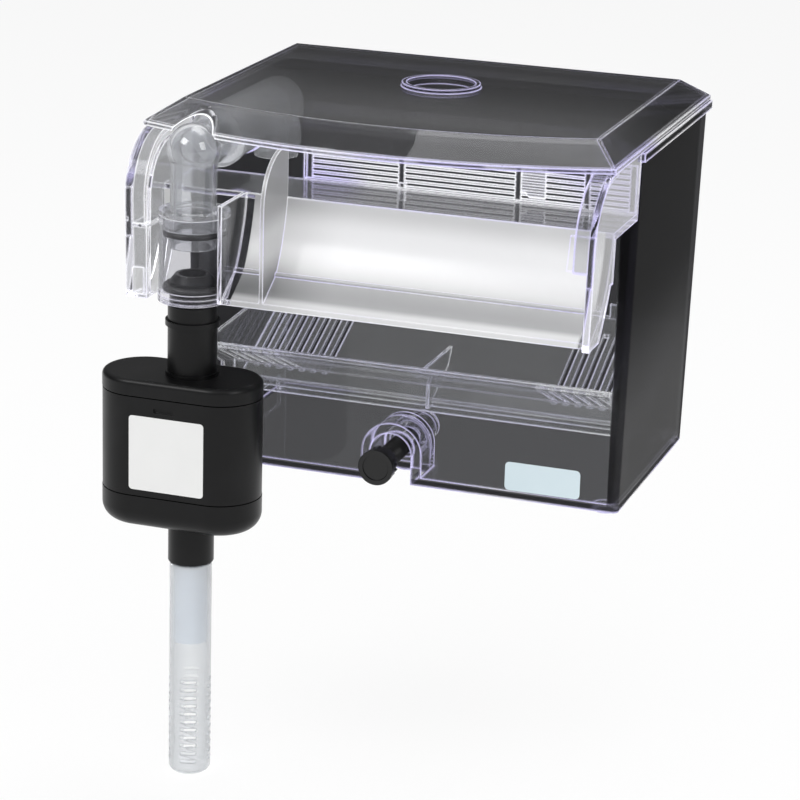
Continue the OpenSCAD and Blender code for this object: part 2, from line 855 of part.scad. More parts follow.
// The lift-out plate that parts the trough in two
module centre_divider() {
    slope = tan(trough_angle);
    top_z = trough_z - divider_drop;
    heel = divider_reach - 5;
    front_lip = throat_y + panel_t;
    front_z = trough_z - 1 - (front_lip - wall - 3) * slope + rest_gap;
    rear_z = rear_foot_z + rest_gap;
    color(edge_tint) to_seat() along_x(-divider_t / 2, divider_t) polygon([
        [front_lip - (top_z - front_z) / slope, top_z],
        [throat_rear + divider_reach, top_z],
        [throat_rear + heel, rear_z + heel * slope],
        [throat_rear - rest_gap, rear_z],
        [throat_rear - rest_gap, throat_z + 1],
        [front_lip + rest_gap, throat_z + 1],
        [front_lip + rest_gap, front_z],
    ]);
}

// The leveling screw's plain shaft
module leveling_screw() {
    color(black_tint) to_seat()
        rod_y(screw_x, knob_seat_y, screw_z, screw_r, screw_tip - knob_seat_y);
}

// The ribbed knob whose face bears on the tank's glass
module screw_knob() {
    face_t = 3;
    rib_h = 1.4;
    rib_len = knob_len - face_t - 0.5;
    color(black_tint) to_seat() translate([screw_x, -knob_reach, screw_z]) rotate([-90, 0, 0]) {
        difference() {
            union() {
                cylinder(h = face_t, r = knob_r);
                cylinder(h = knob_len, r = knob_r - rib_h);
                for (i = [0 : knob_ribs - 1]) {
                    rotate(i * 360 / knob_ribs) translate([knob_r - rib_h - 0.4, -0.5, face_t - 0.5])
                        cube([rib_h, 1, rib_len]);
                }
            }
            translate([0, 0, -1]) cylinder(h = 1.6, r = knob_r - 2.2);
            translate([0, 0, knob_len - knob_hold - rest_gap]) cylinder(h = far, r = screw_r + run_gap);
        }
    }
}

// The outside or the bore of the front elbow
module elbow_form(r, corner, tail) {
    at_pipe(spigot_z - tail) cylinder(h = cross_z - spigot_z + tail, r = r);
    at_pipe(cross_z) sphere(r = corner);
    rod_y(pipe_x, -pipe_y, cross_z, r, pipe_y - cross_front + elbow_hold + tail);
}

// The front elbow, which brings the water up and turns it over the rim
module elbow_pipe() {
    collar_z = upper_ring_z + ring_minor + run_gap;
    lip_top = upper_ring_z - ring_minor - run_gap;
    color(milky_tint) to_seat() {
        difference() {
            union() {
                elbow_form(pipe_r, ball_r, 0);
                at_pipe(collar_z) cylinder(h = sleeve_top + rest_gap - collar_z, r = sleeve_bore - run_gap);
                at_pipe(sleeve_top + rest_gap) cylinder(h = flange_t, r = sleeve_r);
                at_pipe(lip_top - ring_lip) cylinder(h = ring_lip, r = pipe_r + ring_lip / 2);
            }
            elbow_form(pipe_r - pipe_wall, ball_r - pipe_wall, 1);
        }
    }
}

// The wider pipe that crosses the bridge into the box
module cross_pipe() {
    len = cross_front + cross_end;
    color(milky_tint) to_seat() difference() {
        union() {
            rod_y(pipe_x, -cross_front, cross_z, cross_r, len);
            rod_y(pipe_x, -cross_front, cross_z, bell_r, bell_len);
        }
        rod_y(pipe_x, -cross_front - 1, cross_z, pipe_r + run_gap, len + 2);
    }
}

// The turned-down nozzle that lets the water into the box
module return_outlet() {
    color(milky_tint) to_seat() difference() {
        union() {
            outlet_form(cross_r, cross_r, pipe_r, 0);
            translate([pipe_x, cross_end + outlet_back, cross_z - outlet_drop + hose_hold])
                cylinder(h = outlet_drop - hose_hold, r = cross_r);
        }
        outlet_form(pipe_r - pipe_wall, ball_r - pipe_wall, pipe_r - pipe_wall, 1);
    }
}

// The outside or the bore of the nozzle
module outlet_form(r, corner, spigot_r, tail) {
    start_y = cross_end + rest_gap;
    axis_y = cross_end + outlet_back;
    rod_y(pipe_x, cross_end - outlet_hold - tail, cross_z, spigot_r, outlet_hold + tail + rest_gap);
    rod_y(pipe_x, start_y, cross_z, r, axis_y - start_y);
    translate([pipe_x, axis_y, cross_z]) sphere(r = corner);
    translate([pipe_x, axis_y, cross_z - outlet_drop - tail])
        cylinder(h = outlet_drop + tail, r = spigot_r);
}

// The clear sleeve that joins the pump to the elbow
module coupling_sleeve() {
    color(clear_tint) to_seat() at_pipe(sleeve_bottom) difference() {
        union() {
            cylinder(h = sleeve_len, r = sleeve_r);
            cylinder(h = 3, r = sleeve_r + 0.3);
        }
        translate([0, 0, seat_h]) cylinder(h = sleeve_len, r = sleeve_bore);
        translate([0, 0, -1]) cylinder(h = sleeve_len, r = pipe_r + run_gap);
    }
}

// One round sealing ring
module o_ring(z) {
    color(rubber_tint) to_seat() at_pipe(z)
        rotate_extrude() translate([ring_major, 0]) circle(ring_minor);
}

// The ring that seals the elbow in the sleeve
module upper_o_ring() {
    o_ring(upper_ring_z);
}

// The ring that seals the pump's pipe in the sleeve
module lower_o_ring() {
    o_ring(lower_ring_z);
}

// The black pipe on top of the pump
module pump_outlet_pipe() {
    neck_z = sleeve_bottom - 2;
    tip_z = lower_ring_z + ring_minor + 1;
    tip_h = 3;
    ring_h = 2.4;
    color(black_tint) to_seat() difference() {
        union() {
            at_pipe(pump_top - 4) cylinder(h = 5, r = outlet_r - 2);
            at_pipe(pump_top) cylinder(h = neck_z - pump_top, r = outlet_r);
            at_pipe(pump_top) cylinder(h = 1.6, r = outlet_r + 0.9);
            at_pipe(neck_z - 9) cylinder(h = ring_h, r = barb_r);
            at_pipe(neck_z - eps) cylinder(h = tip_z - neck_z + eps, r = pipe_r);
            at_pipe(tip_z - eps) cylinder(h = tip_h, r1 = pipe_r, r2 = outlet_bore + 1.4);
        }
        at_pipe(pump_top - 5) cylinder(h = tip_z + tip_h - pump_top + 6, r = outlet_bore);
    }
}

// A stadium outline with round ends
module stadium(r) {
    for (side = [-1, 1]) {
        translate([side * pump_straight / 2, 0]) circle(r);
    }
    translate([-pump_straight / 2, -r]) square([pump_straight, 2 * r]);
}

// A stadium-shaped solid swept from a profile of radius and height
module stadium_sweep() {
    for (side = [-1, 1]) {
        translate([side * pump_straight / 2, 0, 0]) rotate_extrude() children();
    }
    along_x(-pump_straight / 2, pump_straight) {
        children();
        mirror([1, 0]) children();
    }
}

// Moves a shape to the middle of the pump's casing
module at_pump(z) {
    translate([pump_x, pump_y, z]) children();
}

// The cover that carries the outlet pipe
module pump_top_cover() {
    edge = 2.4;
    color(black_tint) to_seat() difference() {
        at_pump(body_top + seam) stadium_sweep() {
            square([pump_r, top_h - seam - edge]);
            square([pump_r - edge, top_h - seam]);
            translate([pump_r - edge, top_h - seam - edge]) circle(edge);
        }
        at_pump(body_top) linear_extrude(3) stadium(pump_r - 3);
        at_pipe(pump_top - 4 - eps) cylinder(h = 6, r = outlet_r - 2 + eps);
        at_pipe(body_top) cylinder(h = top_h, r = outlet_bore);
    }
}

// The middle casing with its rotor well, water channel and sealed coil chamber
module pump_body() {
    color(black_tint) to_seat() difference() {
        union() {
            at_pump(body_bottom) linear_extrude(body_h) stadium(pump_r);
            at_pump(body_top - eps) linear_extrude(2.4) stadium(pump_r - 3 - run_gap);
        }
        at_pump(body_bottom - eps) linear_extrude(4) stadium(pump_r - 2.4);
        at_pipe(body_bottom) cylinder(h = well_top - body_bottom, r = magnet_r + well_gap);
        at_pipe(body_bottom) cylinder(h = well_top + bush_len - body_bottom, r = bush_r);
        translate([pipe_x + channel_off, -pipe_y, body_bottom - eps])
            cylinder(h = body_h + 5, r = channel_r);
        coil_chamber();
        at_pump(body_top + 1) translate([pipe_x - pump_x - 8, -8, 0]) cube([28, 16, 3]);
        rod_y(gland_x, gland_y, gland_z, gland_r + run_gap, gland_t + 1);
        translate([pump_x - pump_straight / 2 + 12, pump_y - pump_r - 1, body_top - 6])
            cube([latch_w, 1 + latch_h / 2, latch_h]);
    }
}

// The closed chamber beside the rotor that holds the coil
module coil_chamber() {
    translate([room_left, pump_y - room_d / 2, room_z]) cube([room_right - room_left, room_d, room_h]);
}

// The laminated core that carries the magnetic field to the rotor
module stator_core() {
    width = core_right - core_left;
    color(steel_tint) to_seat() difference() {
        translate([core_left, pump_y - core_d / 2, core_z]) cube([width, core_d, core_h]);
        translate([core_left + limb_w, pump_y - core_d, core_z + yoke_h])
            cube([width - 2 * limb_w, 2 * core_d, core_h - 2 * yoke_h]);
    }
}

// The copper coil wound on the core's left limb
module stator_coil() {
    inner_w = limb_w + 2 * part_gap;
    inner_d = core_d + 2 * part_gap;
    coil_h = core_h - 2 * yoke_h - 2 * part_gap;
    color(copper_tint) to_seat()
        translate([core_left + limb_w / 2, pump_y, core_z + yoke_h + part_gap])
            linear_extrude(coil_h) difference() {
                square([inner_w + 2 * winding_t, inner_d + 2 * winding_t], center = true);
                square([inner_w, inner_d], center = true);
            }
}

// The cover under the pump that holds the impeller's chamber
module pump_bottom_cover() {
    color(black_tint) to_seat() difference() {
        union() {
            at_pump(pump_bottom) stadium_sweep() {
                translate([0, bottom_round]) square([pump_r, bottom_h - seam - bottom_round]);
                square([pump_r - bottom_round, bottom_h - seam]);
                translate([pump_r - bottom_round, bottom_round]) circle(bottom_round);
            }
            at_pump(body_bottom - seam - eps) linear_extrude(3.6) difference() {
                stadium(pump_r - 2.5);
                stadium(pump_r - 4.2);
            }
        }
        at_pipe(body_bottom - chamber_d) cylinder(h = far / 10, r = chamber_r);
        translate([pipe_x, -pipe_y - channel_r, body_bottom - 6])
            cube([channel_off + channel_r, 2 * channel_r, far / 10]);
        at_pipe(pump_bottom - 1) cylinder(h = bottom_h, r = inlet_bore);
        at_pipe(pump_bottom - 1) cylinder(h = 1 + collar_hold + rest_gap, r = collar_r - 2 + run_gap);
        at_pipe(body_bottom - seam - seal_t) tube(seal_out, seal_in, 3);
    }
    color(black_tint) to_seat() bush_spider();
}

// The three arms that hold the lower bush over the inlet
module bush_spider() {
    arm_w = 1.2;
    at_pipe(spider_z) difference() {
        union() {
            cylinder(h = spider_t, r = spider_bore + 0.8);
            for (i = [0 : 2]) {
                rotate(i * 120) translate([0, -arm_w / 2, 0]) cube([inlet_bore + 0.6, arm_w, spider_t]);
            }
        }
        translate([0, 0, -1]) cylinder(h = spider_t + 2, r = spider_bore);
    }
}

// The flat seal round the impeller's chamber
module cover_seal() {
    color(rubber_tint) to_seat() at_pipe(body_bottom - seam - seal_t)
        tube(seal_out - run_gap, seal_in + run_gap, seal_t + seam);
}

// The collar that takes the intake tube
module inlet_collar() {
    color(black_tint) to_seat() difference() {
        union() {
            at_pipe(collar_end) cylinder(h = collar_len, r = collar_r);
            at_pipe(pump_bottom - eps) cylinder(h = collar_hold, r = collar_r - 2);
        }
        at_pipe(collar_end - 1) cylinder(h = intake_hold + 1, r = intake_r + eps);
        at_pipe(collar_end) cylinder(h = collar_len + collar_hold + 1, r = inlet_bore);
    }
}

// The inner intake tube under the pump
module intake_tube() {
    color(milky_tint) to_seat() at_pipe(collar_end - intake_len)
        tube(intake_r, intake_r - intake_wall, intake_len + intake_hold);
}

// The long strainer tube that slides on the intake tube
module strainer() {
    top = collar_end - 0.6;
    base = top - strainer_len;
    bore = intake_r + run_gap;
    first_row = base + 6;
    nose = 3;
    color(milky_tint) to_seat() {
        at_pipe(base) rotate(18) difference() {
            union() {
                translate([0, 0, nose]) cylinder(h = strainer_len - nose, r = strainer_r);
                rotate_extrude() {
                    square([strainer_r - nose, nose + 1]);
                    translate([strainer_r - nose, nose]) circle(nose);
                }
            }
            translate([0, 0, 2]) cylinder(h = strainer_len, r = bore);
            for (row = [0 : strainer_rows - 1]) {
                for (turn = [0 : 3]) {
                    translate([0, 0, first_row - base + row * strainer_pitch]) rotate(turn * 90)
                        translate([-strainer_slot / 2, -far / 10, 0])
                            cube([strainer_slot, far / 10 - bore * 0.6, strainer_gap]);
                }
            }
        }
    }
}

// The magnet that turns in the rotor well
module rotor_magnet() {
    color(magnet_tint) to_seat() at_pipe(rotor_base)
        tube(magnet_r, shaft_r + run_gap, magnet_len);
}

// The bladed wheel under the magnet
module impeller() {
    blade_h = 5;
    blade_t = 1.2;
    hub_r = 3.2;
    disc_z = body_bottom - 1.5;
    color(ceramic_tint) to_seat() at_pipe(disc_z) difference() {
        union() {
            cylinder(h = rotor_base - disc_z, r = hub_r);
            cylinder(h = 1.2, r = impeller_r);
            for (i = [0 : blades - 1]) {
                rotate(i * 360 / blades) translate([0, -blade_t / 2, -blade_h])
                    cube([impeller_r - 0.3, blade_t, blade_h + eps]);
            }
            translate([0, 0, -blade_h]) cylinder(h = blade_h + eps, r = hub_r);
        }
        translate([0, 0, -blade_h - 1]) cylinder(h = far / 4, r = shaft_r + run_gap);
    }
}

// The fixed ceramic shaft
module rotor_shaft() {
    foot = spider_z + 0.2;
    color(ceramic_tint) to_seat() at_pipe(foot) cylinder(h = well_top + bush_len - foot, r = shaft_r);
}

// The bush that holds the shaft's upper end
module upper_bush() {
    color(rubber_tint) to_seat() at_pipe(well_top) tube(bush_r - eps, shaft_r, bush_len);
}

// The bush that steadies the shaft's lower end
module lower_bush() {
    color(rubber_tint) to_seat() at_pipe(spider_z) tube(spider_bore - eps, shaft_r + run_gap, spider_t);
}

// The flush gland through which the pump's lead enters
module cable_gland() {
    color(black_tint) to_seat()
        difference() {
            rod_y(gland_x, gland_y, gland_z, gland_r, gland_t);
            rod_y(gland_x, gland_y + gland_floor, gland_z, lead_r, gland_t);
        }
}

main_box();
front_hood();
spillway_chute();
overflow_grille();
lid();
insert_front_panel();
insert_rear_panel();
insert_left_end();
insert_right_end();
centre_divider();
leveling_screw();
screw_knob();
elbow_pipe();
cross_pipe();
return_outlet();
coupling_sleeve();
upper_o_ring();
lower_o_ring();
pump_outlet_pipe();
pump_top_cover();
pump_body();
pump_bottom_cover();
cover_seal();
inlet_collar();
intake_tube();
strainer();
rotor_magnet();
impeller();
rotor_shaft();
upper_bush();
lower_bush();
stator_core();
stator_coil();
cable_gland();
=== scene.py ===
"""Dresses the fish breeding box: clear mouldings, milky feed pipe, black pump and its intake."""

import logging
import math
from dataclasses import dataclass, field
from enum import Enum
from typing import Any, Iterable, Optional, Union

import bmesh
import bpy
from mathutils import Matrix, Vector


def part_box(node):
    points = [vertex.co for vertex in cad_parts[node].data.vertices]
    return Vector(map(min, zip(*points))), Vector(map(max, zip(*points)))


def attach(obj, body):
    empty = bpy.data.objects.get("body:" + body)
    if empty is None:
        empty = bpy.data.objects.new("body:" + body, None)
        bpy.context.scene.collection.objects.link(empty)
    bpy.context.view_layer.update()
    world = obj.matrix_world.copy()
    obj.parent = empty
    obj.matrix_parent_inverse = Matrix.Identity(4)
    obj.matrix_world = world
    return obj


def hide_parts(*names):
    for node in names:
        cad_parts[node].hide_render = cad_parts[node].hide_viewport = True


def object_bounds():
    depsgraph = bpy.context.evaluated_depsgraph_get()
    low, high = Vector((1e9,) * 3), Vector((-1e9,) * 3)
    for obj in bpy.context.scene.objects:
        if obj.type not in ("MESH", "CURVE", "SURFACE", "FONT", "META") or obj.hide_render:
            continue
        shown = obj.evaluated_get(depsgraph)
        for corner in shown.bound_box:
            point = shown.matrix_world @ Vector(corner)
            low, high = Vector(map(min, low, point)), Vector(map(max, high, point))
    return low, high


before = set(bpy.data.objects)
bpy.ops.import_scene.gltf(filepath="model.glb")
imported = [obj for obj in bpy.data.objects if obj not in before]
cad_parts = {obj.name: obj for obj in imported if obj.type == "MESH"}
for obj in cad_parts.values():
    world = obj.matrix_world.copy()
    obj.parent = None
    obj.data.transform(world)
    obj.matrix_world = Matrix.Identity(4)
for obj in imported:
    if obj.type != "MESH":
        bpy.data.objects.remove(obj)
CAD_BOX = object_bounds()

LOG = logging.getLogger("breeding_box")
SEAT_SHIFT = Vector((0.0, 17.0, -131.0))

Colour = tuple[float, float, float]
Value = Union["Sock", float]


def seat(x: float, y: float, z: float) -> Vector:
    """Turns a point of the box's own drawing, in mm, into the shared frame, in metres."""
    return (Vector((x, y, z)) + SEAT_SHIFT) / 1000.0


# ---------------------------------------------------------------------------------------------
# Shader arithmetic


class Sock:
    """A node socket that takes part in arithmetic, each operator adding one Math node."""

    def __init__(self, graph: "Graph", socket: bpy.types.NodeSocket) -> None:
        """Wraps an output socket.

        Args:
            graph: The node tree that the socket belongs to.
            socket: The output socket.
        """
        self.graph = graph
        self.socket = socket

    def _math(self, operation: str, *values: Value, clamp: bool = False) -> "Sock":
        """Adds one Math node.

        Args:
            operation: Name of the Math operation.
            values: What goes into the node's inputs, in order.
            clamp: Whether the result is held between 0 and 1.

        Returns:
            The node's result.
        """
        settings = {"operation": operation, "use_clamp": clamp}
        return self.graph.add("ShaderNodeMath", settings, dict(enumerate(values)))

    def __add__(self, other: Value) -> "Sock":
        """Sum."""
        return self._math("ADD", self, other)

    def __radd__(self, other: Value) -> "Sock":
        """Sum, reflected."""
        return self._math("ADD", other, self)

    def __sub__(self, other: Value) -> "Sock":
        """Difference."""
        return self._math("SUBTRACT", self, other)

    def __rsub__(self, other: Value) -> "Sock":
        """Difference, reflected."""
        return self._math("SUBTRACT", other, self)

    def __mul__(self, other: Value) -> "Sock":
        """Product."""
        return self._math("MULTIPLY", self, other)

    def __rmul__(self, other: Value) -> "Sock":
        """Product, reflected."""
        return self._math("MULTIPLY", other, self)

    def held(self) -> "Sock":
        """The value held between 0 and 1."""
        return self._math("ADD", self, 0.0, clamp=True)

    def size(self) -> "Sock":
        """The value without its sign."""
        return self._math("ABSOLUTE", self)

    def ramp(self, low: float, high: float) -> "Sock":
        """Maps low..high smoothly onto 0..1.

        Args:
            low: Value that becomes 0.
            high: Value that becomes 1.

        Returns:
            The mapped value.
        """
        inputs = {"Value": self, "From Min": low, "From Max": high}
        return self.graph.add("ShaderNodeMapRange", {"interpolation_type": "SMOOTHSTEP"}, inputs)


class Graph:
    """The node tree of one material or of the world."""

    def __init__(self, tree: bpy.types.NodeTree) -> None:
        """Empties a node tree.

        Args:
            tree: The tree to fill.
        """
        self.tree = tree
        tree.nodes.clear()

    def add(
        self,
        kind: str,
        settings: Optional[dict[str, Any]] = None,
        inputs: Optional[dict[Union[str, int], Any]] = None,
        out: Union[str, int] = 0,
    ) -> Sock:
        """Adds any node.

        Args:
            kind: Type of the node.
            settings: Properties that are set first.
            inputs: Values or sockets by input name or number.
            out: The output that is handed back.

        Returns:
            The chosen output.
        """
        node = self.tree.nodes.new(kind)
        for name, value in (settings or {}).items():
            setattr(node, name, value)
        for name, value in (inputs or {}).items():
            if isinstance(value, Sock):
                self.tree.links.new(value.socket, node.inputs[name])
            elif isinstance(value, tuple) and node.inputs[name].type == "RGBA":
                node.inputs[name].default_value = (*value, 1.0)
            else:
                node.inputs[name].default_value = value
        return Sock(self, node.outputs[out]) if len(node.outputs) else Sock(self, None)

    def colour_mix(self, share: Value, first: Any, second: Any) -> Sock:
        """Mixes two colours.

        Args:
            share: Share of the second colour.
            first: Colour at 0.
            second: Colour at 1.

        Returns:
            The mixed colour.
        """
        settings = {"data_type": "RGBA", "blend_type": "MIX"}
        return self.add("ShaderNodeMix", settings, {0: share, 6: first, 7: second}, out=2)

    def noise(self, scale: float, detail: float = 2.0, stretch: Colour = (1, 1, 1)) -> Sock:
        """Noise in the piece's own space.

        Args:
            scale: Number of blotches per metre.
            detail: Number of finer layers.
            stretch: Scale along X, Y and Z.

        Returns:
            The noise, about 0 to 1.
        """
        place = self.add("ShaderNodeTexCoord", out="Object")
        spread = self.add("ShaderNodeMapping", None, {"Vector": place, "Scale": stretch})
        inputs = {"Vector": spread, "Scale": scale, "Detail": detail}
        return self.add("ShaderNodeTexNoise", None, inputs)

    def height(self, axis: str = "Z") -> Sock:
        """A coordinate of the piece's own space, in metres.

        Args:
            axis: X, Y or Z.

        Returns:
            The coordinate.
        """
        place = self.add("ShaderNodeTexCoord", out="Object")
        return self.add("ShaderNodeSeparateXYZ", None, {0: place}, out=axis)

    def bump(self, height: Sock, distance: float, strength: float = 1.0) -> Sock:
        """Turns a height into a normal.

        Args:
            height: The height, 0 to 1.
            distance: What a height of 1 stands for, in metres.
            strength: Share of the effect.

        Returns:
            The normal.
        """
        inputs = {"Height": height, "Distance": distance, "Strength": strength}
        return self.add("ShaderNodeBump", None, inputs)

    def edges(self, reach: float) -> Sock:
        """Finds the edges and corners of a piece.

        Args:
            reach: How far from an edge the mark goes, in metres.

        Returns:
            0 on open faces, rising towards the edges.
        """
        rounded = self.add("ShaderNodeBevel", {"samples": 4}, {"Radius": reach})
        flat = self.add("ShaderNodeNewGeometry", out="True Normal")
        settings = {"operation": "DOT_PRODUCT"}
        match = self.add("ShaderNodeVectorMath", settings, {0: rounded, 1: flat}, out="Value")
        return 1.0 - match.size()


# ---------------------------------------------------------------------------------------------
# Finishes


@dataclass(frozen=True)
class Finish:
    """A surface finish that can make its own material."""

    name: str

    def shade(self, graph: Graph) -> tuple[Sock, Optional[Sock]]:
        """Makes the surface and, for a clear finish, the inside.

        Args:
            graph: The material's node tree.

        Returns:
            The surface shader and the volume shader or None.
        """
        raise NotImplementedError

    def material(self) -> bpy.types.Material:
        """The finish's material, made once."""
        made = bpy.data.materials.get(self.name)
        if made is not None:
            return made
        made = bpy.data.materials.new(self.name)
        made.use_nodes = True
        graph = Graph(made.node_tree)
        surface, inside = self.shade(graph)
        ends = {"Surface": surface} | ({"Volume": inside} if inside else {})
        graph.add("ShaderNodeOutputMaterial", None, ends)
        return made


@dataclass(frozen=True)
class ClearMoulding(Finish):
    """Clear moulded plastic whose cut edges and corners carry a painted highlight: a pale violet
    tint made bright, with emission.
    """

    face: Colour = (0.86, 0.86, 0.88)
    haze: float = 0.0
    # The next two colours and the emission strength make the painted edge highlight: the plastic's
    # own violet tint, painted bright.
    rim: Colour = (0.95, 0.95, 0.98)
    violet_rim: Colour = (0.70, 0.66, 1.0)
    painted_glow: float = 0.30
    gloss: Colour = (0.40, 0.40, 0.43)
    roughness: float = 0.02
    violet: Colour = (0.35, 0.22, 0.95)
    depth: float = 5.0
    reach: float = 0.0011
    low: float = 0.02
    high: float = 0.22
    # The two settings below: colour and clearness of the painted shade, a dark layer mixed over
    # some faces.
    painted_shade_colour: Colour = (0.03, 0.03, 0.032)
    painted_shade_clear: float = 0.9
    edge_clear: float = 0.25
    cloud_scale: float = 9.0
    drift_scale: float = 14.0
    cut_scale: float = 500.0

    def painted_shade_share(self, graph: Graph) -> Optional[Sock]:
        """Share of the painted shade, a dark layer, on a face, or None where there is none."""
        return None

    def clear_face(self, graph: Graph) -> Sock:
        """The open faces."""
        cloud = graph.noise(self.cloud_scale, 1.0)
        inputs = {
            "Base Color": self.face,
            "Roughness": cloud * 0.012 + self.roughness,
            "IOR": 1.49,
            "Transmission Weight": 1.0 - self.haze,
            "Specular Tint": self.gloss,
        }
        face = graph.add("ShaderNodeBsdfPrincipled", None, inputs)
        # Painted shade: on pieces that ask for it, a dark, nearly clear layer is mixed over the
        # face.
        painted_shade_share = self.painted_shade_share(graph)
        if painted_shade_share is None:
            return face
        inputs = {
            "Base Color": self.painted_shade_colour,
            "Roughness": cloud * 0.1 + 0.25,
            "Specular IOR Level": 0.05,
            "Transmission Weight": self.painted_shade_clear,
            "IOR": 1.02,
        }
        dark = graph.add("ShaderNodeBsdfPrincipled", None, inputs)
        return graph.add("ShaderNodeMixShader", None, {0: painted_shade_share, 1: face, 2: dark})

    def painted_edge_highlight(self, graph: Graph) -> Sock:
        """The painted highlight on the edges and corners: pale, partly violet, and emitting light.
        """
        drift = graph.noise(self.drift_scale, 1.0).ramp(0.4, 0.6)
        tint = graph.colour_mix(drift, self.rim, self.violet_rim)
        inputs = {
            "Base Color": tint,
            "Roughness": graph.noise(self.cut_scale, 2.0) * 0.1 + 0.12,
            "IOR": 1.49,
            "Transmission Weight": self.edge_clear,
            # Painted highlight: the edge emits its own pale colour, though it is no lamp.
            "Emission Color": tint,
            "Emission Strength": self.painted_glow,
        }
        return graph.add("ShaderNodeBsdfPrincipled", None, inputs)

    def shade(self, graph: Graph) -> tuple[Sock, Optional[Sock]]:
        """Glass-like faces, a painted highlight on the edges and a violet inside."""
        # Share of the painted edge highlight, rising towards edges and corners.
        share = graph.edges(self.reach).ramp(self.low, self.high)
        ends = {0: share, 1: self.clear_face(graph), 2: self.painted_edge_highlight(graph)}
        surface = graph.add("ShaderNodeMixShader", None, ends)
        inside = graph.add(
            "ShaderNodeVolumeAbsorption", None, {"Color": self.violet, "Density": self.depth}
        )
        return surface, inside


@dataclass(frozen=True)
class PaintedShadeBox(ClearMoulding):
    """The box's clear plastic, with painted shade, a dark layer, on all sides but its front."""

    strength: float = 0.97
    low_share: float = 0.82
    rear: float = 0.1245
    left: float = -0.0955
    right: float = 0.0950
    floor: float = -0.1278
    blend: float = 0.0005
    fade_from: float = -0.100
    fade_to: float = -0.030

    def painted_shade_share(self, graph: Graph) -> Optional[Sock]:
        """Share of the painted shade on a face: rear, left and floor, and the right side a little
        less towards the bottom.
        """
        behind = graph.height("Y").ramp(self.rear, self.rear + self.blend)
        beside = (0.0 - graph.height("X")).ramp(-self.left, -self.left + self.blend)
        below = (0.0 - graph.height("Z")).ramp(-self.floor, -self.floor + self.blend)
        facing = graph.height("X").ramp(self.right, self.right + self.blend)
        fade = graph.height("Z").ramp(self.fade_from, self.fade_to)
        thin = fade * (1.0 - self.low_share) + self.low_share
        return (behind + beside + below + facing * thin).held() * self.strength


@dataclass(frozen=True)
class PaintedShadeLid(ClearMoulding):
    """The lid's clear plastic, with painted shade that grows a little towards the back."""

    strength: float = 0.6
    front_share: float = 0.4
    start: float = -0.02
    end: float = 0.10

    def painted_shade_share(self, graph: Graph) -> Optional[Sock]:
        """Share of the painted shade on a face."""
        rise = graph.height("Y").ramp(self.start, self.end)
        return (rise * (1.0 - self.front_share) + self.front_share) * self.strength


@dataclass(frozen=True)
class MilkyMoulding(Finish):
    """Translucent milky plastic with a clear gloss over it."""

    face: Colour = (0.62, 0.64, 0.66)
    # Painted rim and edge colours: lighter by default, a painted highlight; the strainer's darker
    # ones are painted shade along its outlines.
    grazing: Colour = (0.93, 0.94, 0.96)
    edge: Colour = (0.97, 0.97, 0.98)
    roughness: float = 0.10
    clear: float = 0.88
    reach: float = 0.0007
    low: float = 0.03
    high: float = 0.25
    along: Colour = (1.0, 1.0, 0.35)

    def body_tint(self, graph: Graph) -> Sock:
        """Colour of the open faces, turning to a painted rim colour towards grazing faces."""
        facing = graph.add("ShaderNodeLayerWeight", None, {"Blend": 0.5}, out="Facing")
        cloud = graph.noise(90.0, 3.0, self.along)
        return graph.colour_mix((facing * 0.8 + cloud * 0.2).held(), self.face, self.grazing)

    def shade(self, graph: Graph) -> tuple[Sock, Optional[Sock]]:
        """Part clear, part milky, with cloudy streaks and edges in a painted edge colour."""
        cloud = graph.noise(40.0, 2.0, self.along)
        share = graph.edges(self.reach).ramp(self.low, self.high)
        inputs = {
            "Base Color": graph.colour_mix(share, self.body_tint(graph), self.edge),
            "Roughness": cloud * 0.08 + self.roughness,
            "IOR": 1.47,
            "Transmission Weight": self.clear,
            "Coat Weight": 0.5,
            "Coat Roughness": 0.04,
        }
        return graph.add("ShaderNodeBsdfPrincipled", None, inputs), None


